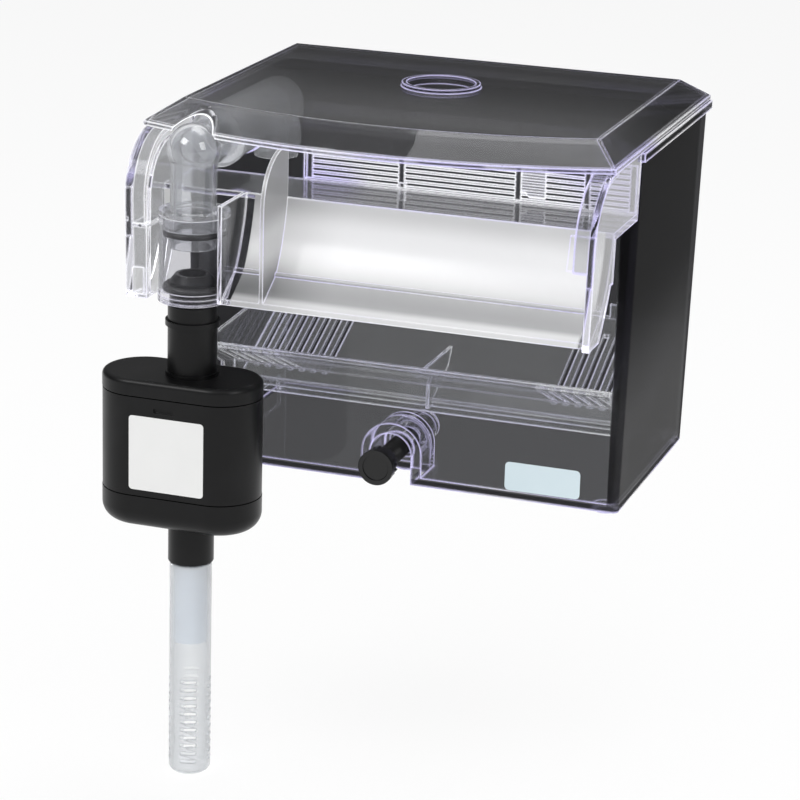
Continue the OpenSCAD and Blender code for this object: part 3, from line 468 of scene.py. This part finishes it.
@dataclass(frozen=True)
class SpillwaySheet(ClearMoulding):
    """The spillway: a satin curved sheet between clear cheeks, with a painted reflection across the
    sheet.
    """

    # The painted lit and shaded colours of the satin sheet.
    sheet: Colour = (0.84, 0.84, 0.85)
    shaded: Colour = (0.10, 0.102, 0.105)
    cheek_left: float = -0.0560
    cheek_right: float = 0.0955
    cheek_blend: float = 0.0004
    curve: tuple[float, float] = (-0.035, -0.017)
    crown: tuple[float, float] = (-0.010, 0.002)
    lip: tuple[float, float] = (0.0345, 0.0365)
    left_side: tuple[float, float] = (-0.054, -0.01)

    def shade(self, graph: Graph) -> tuple[Sock, Optional[Sock]]:
        """Satin sheet with a painted reflection, lighter across its middle, with clear cheeks and
        painted edge highlights.
        """
        across, up = graph.height("X"), graph.height("Z")
        streak = graph.noise(30.0, 2.0, (0.25, 1.0, 1.0)) * 0.14
        # Painted reflection: lighter up the curve, darker again near the crown, lighter at the lip
        # and towards the left side, with random streaks.
        painted_reflection = up.ramp(*self.curve) * 0.62 - up.ramp(*self.crown) * 0.30
        lip = (0.0 - up).ramp(*self.lip) * 0.45
        left = across.ramp(*self.left_side) * 0.3
        light = (painted_reflection + lip + left + streak + 0.02).held()
        inputs = {
            "Base Color": graph.colour_mix(light, self.shaded, self.sheet),
            "Roughness": streak * 0.5 + 0.14,
            "IOR": 1.47,
            "Transmission Weight": 0.30,
        }
        satin = graph.add("ShaderNodeBsdfPrincipled", None, inputs)
        inner = across.ramp(self.cheek_left, self.cheek_left + self.cheek_blend)
        outer = across.ramp(self.cheek_right, self.cheek_right + self.cheek_blend)
        between = (inner - outer).held()
        ends = {0: between, 1: self.clear_face(graph), 2: satin}
        faces = graph.add("ShaderNodeMixShader", None, ends)
        share = graph.edges(self.reach).ramp(self.low, self.high)
        ends = {0: share, 1: faces, 2: self.painted_edge_highlight(graph)}
        return graph.add("ShaderNodeMixShader", None, ends), None


@dataclass(frozen=True)
class BlackMoulding(Finish):
    """Black moulded plastic with a fine spark-eroded grain and rubbed high spots."""

    deep: Colour = (0.0025, 0.0025, 0.0028)
    worn: Colour = (0.006, 0.006, 0.0065)
    roughness: float = 0.26
    grain: float = 0.00004
    shine: float = 0.28

    def shade(self, graph: Graph) -> tuple[Sock, Optional[Sock]]:
        """Dark base with fine grain in the gloss."""
        blotch = graph.noise(55.0, 3.0)
        speck = graph.noise(2600.0, 2.0)
        tint = graph.colour_mix(blotch.ramp(0.4, 0.8), self.deep, self.worn)
        inputs = {
            "Base Color": tint,
            "Roughness": blotch * 0.1 + speck * 0.06 + self.roughness,
            "IOR": 1.45,
            "Specular IOR Level": self.shine,
            "Normal": graph.bump(speck + blotch * 2.0, self.grain, 0.6),
        }
        return graph.add("ShaderNodeBsdfPrincipled", None, inputs), None


@dataclass(frozen=True)
class Rubber(Finish):
    """Soft black rubber with a slight bloom."""

    deep: Colour = (0.008, 0.008, 0.008)
    bloom: Colour = (0.035, 0.035, 0.037)

    def shade(self, graph: Graph) -> tuple[Sock, Optional[Sock]]:
        """Dull black with a cloudy bloom."""
        cloud = graph.noise(260.0, 4.0)
        tint = graph.colour_mix(cloud.ramp(0.45, 0.8), self.deep, self.bloom)
        inputs = {
            "Base Color": tint,
            "Roughness": cloud * 0.25 + 0.3,
            "Normal": graph.bump(cloud, 0.00006, 0.5),
        }
        return graph.add("ShaderNodeBsdfPrincipled", None, inputs), None


@dataclass(frozen=True)
class TurnedMetal(Finish):
    """Bare metal with lathe or roll marks."""

    face: Colour = (0.62, 0.62, 0.63)
    shade_colour: Colour = (0.42, 0.42, 0.44)
    roughness: float = 0.28
    stretch: Colour = (1.0, 1.0, 12.0)

    def shade(self, graph: Graph) -> tuple[Sock, Optional[Sock]]:
        """Metal with fine parallel marks."""
        marks = graph.noise(300.0, 4.0, self.stretch)
        tint = graph.colour_mix(marks, self.face, self.shade_colour)
        inputs = {
            "Base Color": tint,
            "Metallic": 1.0,
            "Roughness": marks * 0.2 + self.roughness,
            "Normal": graph.bump(marks, 0.00003, 0.6),
        }
        return graph.add("ShaderNodeBsdfPrincipled", None, inputs), None


@dataclass(frozen=True)
class Solid(Finish):
    """An even opaque finish with slight mottling: ceramic, ferrite or white plastic."""

    face: Colour = (0.85, 0.84, 0.80)
    mottle: Colour = (0.74, 0.73, 0.69)
    roughness: float = 0.35
    scale: float = 180.0

    def shade(self, graph: Graph) -> tuple[Sock, Optional[Sock]]:
        """Mottled colour with a fine grain."""
        cloud = graph.noise(self.scale, 4.0)
        tint = graph.colour_mix(cloud.ramp(0.35, 0.75), self.face, self.mottle)
        inputs = {
            "Base Color": tint,
            "Roughness": cloud * 0.2 + self.roughness,
            "Normal": graph.bump(graph.noise(self.scale * 8.0, 2.0), 0.00003, 0.5),
        }
        return graph.add("ShaderNodeBsdfPrincipled", None, inputs), None


@dataclass(frozen=True)
class Plate(Finish):
    """A bare satin film label with a faint paper grain."""

    face: Colour = (0.80, 0.80, 0.79)
    shade_colour: Colour = (0.75, 0.75, 0.745)
    roughness: float = 0.38

    def shade(self, graph: Graph) -> tuple[Sock, Optional[Sock]]:
        """Pale film with a fine grain."""
        grain = graph.noise(900.0, 4.0)
        cloud = graph.noise(45.0, 2.0)
        inputs = {
            "Base Color": graph.colour_mix(cloud, self.face, self.shade_colour),
            "Roughness": grain * 0.12 + self.roughness,
            "Normal": graph.bump(grain, 0.00001, 0.4),
        }
        return graph.add("ShaderNodeBsdfPrincipled", None, inputs), None


class Look(Enum):
    """The finishes that the object's pieces take."""

    BOX = PaintedShadeBox(
        "clear_box",
        face=(0.78, 0.785, 0.79),
        gloss=(0.2, 0.2, 0.21),
        painted_glow=0.50,
        depth=1.5,
        reach=0.0018,
        high=0.12,
    )
    HOOD = ClearMoulding(
        "clear_hood", face=(0.68, 0.685, 0.69), haze=0.02, depth=3.0, reach=0.0014
    )
    LID = PaintedShadeLid(
        "clear_lid", face=(0.66, 0.665, 0.67), painted_glow=0.42, depth=3.0, low=0.004, high=0.05
    )
    TROUGH = ClearMoulding(
        "clear_trough",
        face=(0.74, 0.745, 0.75),
        haze=0.05,
        rim=(0.93, 0.94, 0.95),
        violet_rim=(0.78, 0.77, 0.98),
        painted_glow=0.40,
        depth=1.5,
        low=0.01,
        high=0.12,
    )
    SLEEVE = ClearMoulding("clear_sleeve", face=(0.78, 0.78, 0.80), depth=3.0)
    COMB = ClearMoulding(
        "clear_comb", face=(0.88, 0.88, 0.92), roughness=0.12, low=0.004, high=0.05
    )
    SPILLWAY = SpillwaySheet("satin_spillway", face=(0.70, 0.70, 0.72))
    ELBOW = MilkyMoulding("elbow_tube", face=(0.70, 0.71, 0.73), clear=0.95, roughness=0.03)
    MILKY = MilkyMoulding("milky_pipe", face=(0.66, 0.67, 0.69), clear=0.80)
    FROSTED = MilkyMoulding(
        "frosted_intake", face=(0.60, 0.69, 0.80), clear=0.35, roughness=0.35
    )
    # Darker grazing and edge colours: painted shade along the strainer's outlines.
    STRAINER = MilkyMoulding(
        "strainer_tube",
        face=(0.90, 0.91, 0.92),
        grazing=(0.50, 0.52, 0.54),
        edge=(0.42, 0.43, 0.45),
        clear=0.72,
    )
    KNOB = BlackMoulding("knob_black", roughness=0.16, shine=0.5)
    BLACK = BlackMoulding("moulded_black")
    RUBBER = Rubber("ring_rubber")
    STEEL = TurnedMetal("core_sheets", stretch=(1.0, 1.0, 14.0))
    COPPER = TurnedMetal(
        "wound_copper", face=(0.72, 0.36, 0.18), shade_colour=(0.5, 0.22, 0.1)
    )
    CERAMIC = Solid("ceramic_shaft")
    FERRITE = Solid(
        "sintered_ferrite",
        face=(0.07, 0.07, 0.075),
        mottle=(0.03, 0.03, 0.032),
        roughness=0.5,
    )
    PLATE = Plate("bare_plate")
    PALE_PLATE = Plate("pale_plate", face=(0.66, 0.76, 0.80), shade_colour=(0.58, 0.69, 0.74))
    WHITE = Solid("moulded_white", face=(0.80, 0.80, 0.78), mottle=(0.72, 0.72, 0.70))


# ---------------------------------------------------------------------------------------------
# Mesh helpers


def dress(piece: bpy.types.Object, look: Finish) -> bpy.types.Object:
    """Gives a piece one finish.

    Args:
        piece: The piece.
        look: The finish.

    Returns:
        The piece.
    """
    piece.data.materials.clear()
    piece.data.materials.append(look.material())
    return piece


def from_bmesh(name: str, mesh: bmesh.types.BMesh, smooth: bool = True) -> bpy.types.Object:
    """Makes an object of a bmesh that is drawn in the shared frame.

    Args:
        name: Name of the piece.
        mesh: The mesh, which is freed.
        smooth: Whether its faces are shaded smooth.

    Returns:
        The new object.
    """
    data = bpy.data.meshes.new(name)
    bmesh.ops.recalc_face_normals(mesh, faces=mesh.faces)
    mesh.to_mesh(data)
    mesh.free()
    for polygon in data.polygons:
        polygon.use_smooth = smooth
    piece = bpy.data.objects.new(name, data)
    bpy.context.scene.collection.objects.link(piece)
    return piece


@dataclass(frozen=True)
class EdgeWork:
    """How a piece's edges are rounded and its faces kept a hair apart from its neighbours."""

    radius: float = 0.0003
    segments: int = 2
    inset: float = 0.000015
    sharp: float = math.radians(32.0)
    flat: float = math.radians(0.2)
    weld: float = 1e-6
    weight: int = 80

    def apply(self, piece: bpy.types.Object) -> None:
        """Adds the modifiers to a piece.

        Args:
            piece: A CAD node's object.
        """
        weld = piece.modifiers.new("weld", "WELD")
        weld.merge_threshold = self.weld
        flat = piece.modifiers.new("flat", "DECIMATE")
        flat.decimate_type = "DISSOLVE"
        flat.angle_limit = self.flat
        if self.radius > 0.0:
            bevel = piece.modifiers.new("edge", "BEVEL")
            bevel.width = self.radius
            bevel.segments = self.segments
            bevel.limit_method = "ANGLE"
            bevel.angle_limit = self.sharp
            bevel.use_clamp_overlap = True
            bevel.miter_outer = "MITER_SHARP"
        if self.inset > 0.0:
            inset = piece.modifiers.new("inset", "DISPLACE")
            inset.strength = -self.inset
            inset.mid_level = 0.0
            inset.direction = "NORMAL"
        normals = piece.modifiers.new("normals", "WEIGHTED_NORMAL")
        normals.keep_sharp = True
        normals.weight = self.weight


# ---------------------------------------------------------------------------------------------
# Sub-assemblies


@dataclass
class Mouldings:
    """The clear box, its hood, lid, spillway, comb and trough insert."""

    looks: dict[str, Look] = field(
        default_factory=lambda: {
            "main_box": Look.BOX,
            "front_hood": Look.HOOD,
            "lid": Look.LID,
            "spillway_chute": Look.SPILLWAY,
            "overflow_grille": Look.COMB,
            "insert_front_panel": Look.TROUGH,
            "insert_rear_panel": Look.TROUGH,
            "insert_left_end": Look.TROUGH,
            "insert_right_end": Look.TROUGH,
            "centre_divider": Look.TROUGH,
            "coupling_sleeve": Look.SLEEVE,
        }
    )

    def build(self) -> Iterable[bpy.types.Object]:
        """Dresses the clear nodes.

        Returns:
            The dressed objects.
        """
        for name, look in self.looks.items():
            piece = dress(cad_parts[name], look.value)
            EdgeWork().apply(piece)
            piece.visible_shadow = False
            yield piece


@dataclass
class PipeSet:
    """The milky feed pipe with its rings, and the frosted intake."""

    looks: dict[str, Look] = field(
        default_factory=lambda: {
            "elbow_pipe": Look.ELBOW,
            "cross_pipe": Look.MILKY,
            "return_outlet": Look.MILKY,
            "upper_o_ring": Look.RUBBER,
            "lower_o_ring": Look.RUBBER,
            "intake_tube": Look.FROSTED,
            "strainer": Look.STRAINER,
        }
    )

    def build(self) -> Iterable[bpy.types.Object]:
        """Dresses the pipe's nodes.

        Returns:
            The dressed objects.
        """
        for name, look in self.looks.items():
            piece = dress(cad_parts[name], look.value)
            if look is not Look.RUBBER:
                EdgeWork(radius=0.0002).apply(piece)
                piece.visible_shadow = False
            yield piece


@dataclass
class PumpSet:
    """The black pump casing, and what turns and is wound inside it."""

    looks: dict[str, Look] = field(
        default_factory=lambda: {
            "pump_outlet_pipe": Look.BLACK,
            "pump_top_cover": Look.BLACK,
            "pump_body": Look.BLACK,
            "pump_bottom_cover": Look.BLACK,
            "inlet_collar": Look.BLACK,
            "cable_gland": Look.RUBBER,
            "cover_seal": Look.RUBBER,
            "rotor_magnet": Look.FERRITE,
            "impeller": Look.WHITE,
            "rotor_shaft": Look.CERAMIC,
            "upper_bush": Look.CERAMIC,
            "lower_bush": Look.CERAMIC,
            "stator_core": Look.STEEL,
            "stator_coil": Look.COPPER,
        }
    )
    insets: dict[str, float] = field(default_factory=lambda: {"pump_body": 0.00012})

    def build(self) -> Iterable[bpy.types.Object]:
        """Dresses the pump's nodes.

        Returns:
            The dressed objects.
        """
        for name, look in self.looks.items():
            piece = dress(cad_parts[name], look.value)
            if look is Look.BLACK:
                EdgeWork(radius=0.0004, inset=self.insets.get(name, 0.0)).apply(piece)
            yield piece


@dataclass
class ScrewSet:
    """The leveling screw with its thread, and its knob."""

    pitch: float = 2.0
    crest: float = 4.93
    root: float = 4.3
    plain: float = 5.0
    turn_steps: int = 48
    step: float = 0.2
    run_in: float = 2.0
    chamfer: float = 0.8
    flank_slope: float = 1.7
    root_share: float = 0.35
    end_gap: float = 0.02

    def radius_at(self, along: float, turn: float, length: float) -> float:
        """Radius of the threaded rod.

        Args:
            along: Distance from the knob's end, in mm.
            turn: Share of a turn round the axis.
            length: Length of the rod, in mm.

        Returns:
            The radius, in mm.
        """
        wave = abs(((along / self.pitch - turn) % 1.0) * 2.0 - 1.0)
        flank = min(1.0, max(0.0, wave * self.flank_slope - self.root_share))
        depth = (self.crest - self.root) * (1.0 - flank)
        begun = min(1.0, max(0.0, (along - self.plain) / self.run_in))
        chamfer = max(0.0, self.chamfer - (length - along))
        return self.crest - depth * begun - chamfer

    def threaded_rod(self) -> bpy.types.Object:
        """Makes the threaded rod that stands for the plain one.

        Returns:
            The new piece.
        """
        low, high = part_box("leveling_screw")
        x, z = (low[0] + high[0]) / 2.0, (low[2] + high[2]) / 2.0
        length = (high[1] - low[1]) * 1000.0 - 2.0 * self.end_gap
        rows = int(length / self.step) + 1
        mesh = bmesh.new()
        rings = []
        for row in range(rows):
            along = length * row / (rows - 1)
            ring = []
            for index in range(self.turn_steps):
                turn = index / self.turn_steps
                radius = self.radius_at(along, turn, length) / 1000.0
                angle = 2.0 * math.pi * turn
                ring.append(
                    mesh.verts.new(
                        (
                            x + radius * math.cos(angle),
                            low[1] + (along + self.end_gap) / 1000.0,
                            z + radius * math.sin(angle),
                        )
                    )
                )
            rings.append(ring)
        for first, second in zip(rings, rings[1:]):
            for index in range(self.turn_steps):
                after = (index + 1) % self.turn_steps
                mesh.faces.new((first[index], first[after], second[after], second[index]))
        mesh.faces.new(rings[0])
        mesh.faces.new(rings[-1])
        return from_bmesh("threaded_rod", mesh, smooth=False)

    def build(self) -> Iterable[bpy.types.Object]:
        """Makes the rod and dresses the knob.

        Returns:
            The finished objects.
        """
        rod = dress(self.threaded_rod(), Look.BLACK.value)
        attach(rod, "screw")
        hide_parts("leveling_screw")
        yield rod
        knob = dress(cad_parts["screw_knob"], Look.KNOB.value)
        EdgeWork(radius=0.0002, inset=0.0).apply(knob)
        yield knob


@dataclass(frozen=True)
class PlateSpot:
    """Where one bare label plate stands, in mm of the box's own drawing."""

    name: str
    body: str
    x: tuple[float, float]
    z: tuple[float, float]
    face_y: float
    thick: float
    corner: float
    look: Look
    corner_steps: int = 8

    def build(self) -> bpy.types.Object:
        """Makes the plate, a thin rounded rectangle.

        Returns:
            The plate.
        """
        mesh = bmesh.new()
        outline = []
        centres = (
            (self.x[1] - self.corner, self.z[1] - self.corner),
            (self.x[0] + self.corner, self.z[1] - self.corner),
            (self.x[0] + self.corner, self.z[0] + self.corner),
            (self.x[1] - self.corner, self.z[0] + self.corner),
        )
        for quarter, (centre_x, centre_z) in enumerate(centres):
            for step in range(self.corner_steps + 1):
                angle = math.pi / 2.0 * (quarter + step / self.corner_steps)
                place = seat(
                    centre_x + self.corner * math.cos(angle),
                    self.face_y,
                    centre_z + self.corner * math.sin(angle),
                )
                outline.append(mesh.verts.new(place))
        face = mesh.faces.new(outline)
        grown = bmesh.ops.extrude_face_region(mesh, geom=[face])
        moved = [item for item in grown["geom"] if isinstance(item, bmesh.types.BMVert)]
        bmesh.ops.translate(mesh, verts=moved, vec=(0.0, self.thick / 1000.0, 0.0))
        plate = dress(from_bmesh(self.name, mesh, smooth=False), self.look.value)
        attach(plate, self.body)
        return plate


@dataclass
class Plates:
    """The two bare label plates, on the pump and on the box's front."""

    spots: tuple[PlateSpot, ...] = (
        PlateSpot("pump_plate", "pump", (-98.0, -63.6), (6.9, 40.2), -71.48, 0.09, 1.6, Look.PLATE),
        PlateSpot("box_plate", "box", (49.0, 83.0), (4.2, 17.2), -0.12, 0.1, 2.0, Look.PALE_PLATE),
    )

    def build(self) -> Iterable[bpy.types.Object]:
        """Makes the plates.

        Returns:
            The plates.
        """
        for spot in self.spots:
            yield spot.build()


# ---------------------------------------------------------------------------------------------
# Studio


@dataclass(frozen=True)
class Lamp:
    """One soft lamp."""

    name: str
    place: Colour
    aim: Colour
    size: tuple[float, float]
    power: float
    tint: Colour = (1.0, 1.0, 1.0)

    def build(self) -> None:
        """Makes the lamp."""
        data = bpy.data.lights.new(self.name, "AREA")
        data.shape = "RECTANGLE"
        data.size, data.size_y = self.size
        data.energy = self.power
        data.color = self.tint
        lamp = bpy.data.objects.new(self.name, data)
        lamp.location = self.place
        way = Vector(self.aim) - Vector(self.place)
        lamp.rotation_euler = way.to_track_quat("-Z", "Y").to_euler()
        bpy.context.scene.collection.objects.link(lamp)


@dataclass
class Studio:
    """Floor, world, lamps and camera."""

    lens: float = 135.0
    sensor: float = 36.0
    eye: Colour = (0.4003, -1.1699, 0.3069)
    right: Colour = (0.944, 0.328, 0.028)
    up: Colour = (-0.125, 0.278, 0.952)
    floor_colour: Colour = (0.93, 0.93, 0.93)
    floor_shade: Colour = (0.90, 0.90, 0.90)
    floor_gap: float = 0.0008
    floor_reach: float = 9.0
    floor_steps: int = 24
    seen_share: float = 0.82
    near: float = 0.05
    far: float = 60.0
    sky: Colour = (0.97, 0.975, 0.98)
    overhead: float = 0.5
    in_front: float = 0.35
    all_round: float = 0.16
    bounces: int = 40
    glossy_bounces: int = 12
    transparent_bounces: int = 24
    lamps: tuple[Lamp, ...] = (
        Lamp("key_lamp", (-0.9, -1.3, 1.3), (0.0, 0.0, -0.05), (1.0, 0.8), 16.0),
        Lamp("side_lamp", (1.3, -0.7, 0.7), (0.0, 0.0, -0.05), (0.6, 1.0), 7.0),
        Lamp("top_lamp", (0.1, 0.5, 1.5), (0.0, 0.0, -0.05), (1.2, 0.8), 9.0),
    )

    def seen(self, graph: Graph, *rays: str) -> Sock:
        """Picks out the rays that meet the plain background.

        Args:
            graph: Node tree of the floor or the world.
            rays: Names of the kinds of ray, from the Light Path node.

        Returns:
            1 for those rays and 0 for the others.
        """
        first, *others = (graph.add("ShaderNodeLightPath", out=ray) for ray in rays)
        return sum(others, first).held()

    def floor(self) -> None:
        """Makes the pale floor just under the object."""
        low = CAD_BOX[0].z - self.floor_gap
        mesh = bmesh.new()
        steps = self.floor_steps
        bmesh.ops.create_grid(mesh, x_segments=steps, y_segments=steps, size=self.floor_reach)
        bmesh.ops.translate(mesh, verts=mesh.verts, vec=(0.0, 0.0, low))
        floor = from_bmesh("floor", mesh, smooth=False)
        material = bpy.data.materials.new("pale_floor")
        material.use_nodes = True
        graph = Graph(material.node_tree)
        cloud = graph.noise(3.0, 2.0)
        pale = graph.colour_mix(cloud * 0.2, self.floor_colour, self.floor_shade)
        lit = graph.add("ShaderNodeBsdfDiffuse", None, {"Color": pale})
        plain = graph.add("ShaderNodeEmission", None, {"Color": (1.0, 1.0, 1.0), "Strength": 1.0})
        rays = ("Is Camera Ray", "Is Glossy Ray", "Is Transmission Ray")
        share = self.seen(graph, *rays) * self.seen_share
        mixed = graph.add("ShaderNodeMixShader", None, {0: share, 1: lit, 2: plain})
        graph.add("ShaderNodeOutputMaterial", None, {"Surface": mixed})
        floor.data.materials.append(material)

    def world(self) -> None:
        """Makes the surrounding light, dimmer towards the back, and its plain pale background."""
        world = bpy.data.worlds.new("studio_world")
        bpy.context.scene.world = world
        world.use_nodes = True
        graph = Graph(world.node_tree)
        place = graph.add("ShaderNodeTexCoord", out="Generated")
        upward = graph.add("ShaderNodeSeparateXYZ", None, {0: place}, out="Z")
        forward = graph.add("ShaderNodeSeparateXYZ", None, {0: place}, out="Y")
        above = upward.ramp(0.3, 0.85) * self.overhead
        before = (0.0 - forward).ramp(0.1, 0.9) * self.in_front
        light = above + before + self.all_round
        plain = self.seen(graph, "Is Camera Ray", "Is Transmission Ray")
        strength = light * (1.0 - plain) + plain
        inputs = {"Color": self.sky, "Strength": strength}
        surround = graph.add("ShaderNodeBackground", None, inputs)
        graph.add("ShaderNodeOutputWorld", None, {"Surface": surround})

    def camera(self) -> None:
        """Places the camera where the photograph was taken from."""
        data = bpy.data.cameras.new("camera")
        data.lens = self.lens
        data.sensor_width = self.sensor
        data.clip_start = self.near
        data.clip_end = self.far
        camera = bpy.data.objects.new("camera", data)
        right = Vector(self.right).normalized()
        up = (Vector(self.up) - right * Vector(self.up).dot(right)).normalized()
        back = right.cross(up)
        turn = Matrix((right, up, back)).transposed().to_4x4()
        camera.matrix_world = Matrix.Translation(self.eye) @ turn
        bpy.context.scene.collection.objects.link(camera)
        bpy.context.scene.camera = camera

    def build(self) -> None:
        """Makes the whole studio."""
        self.camera()
        self.floor()
        self.world()
        for lamp in self.lamps:
            lamp.build()
        scene = bpy.context.scene
        scene.view_settings.view_transform = "Standard"
        scene.cycles.max_bounces = self.bounces
        scene.cycles.transmission_bounces = self.bounces
        scene.cycles.glossy_bounces = self.glossy_bounces
        scene.cycles.transparent_max_bounces = self.transparent_bounces


def main() -> None:
    """Builds the studio and dresses every sub-assembly."""
    logging.basicConfig(level=logging.INFO, format="%(name)s: %(message)s")
    Studio().build()
    for group in (Mouldings(), PipeSet(), PumpSet(), ScrewSet(), Plates()):
        for piece in group.build():
            LOG.info("%s: %s", type(group).__name__, piece.name)


if __name__ == "__main__":
    main()
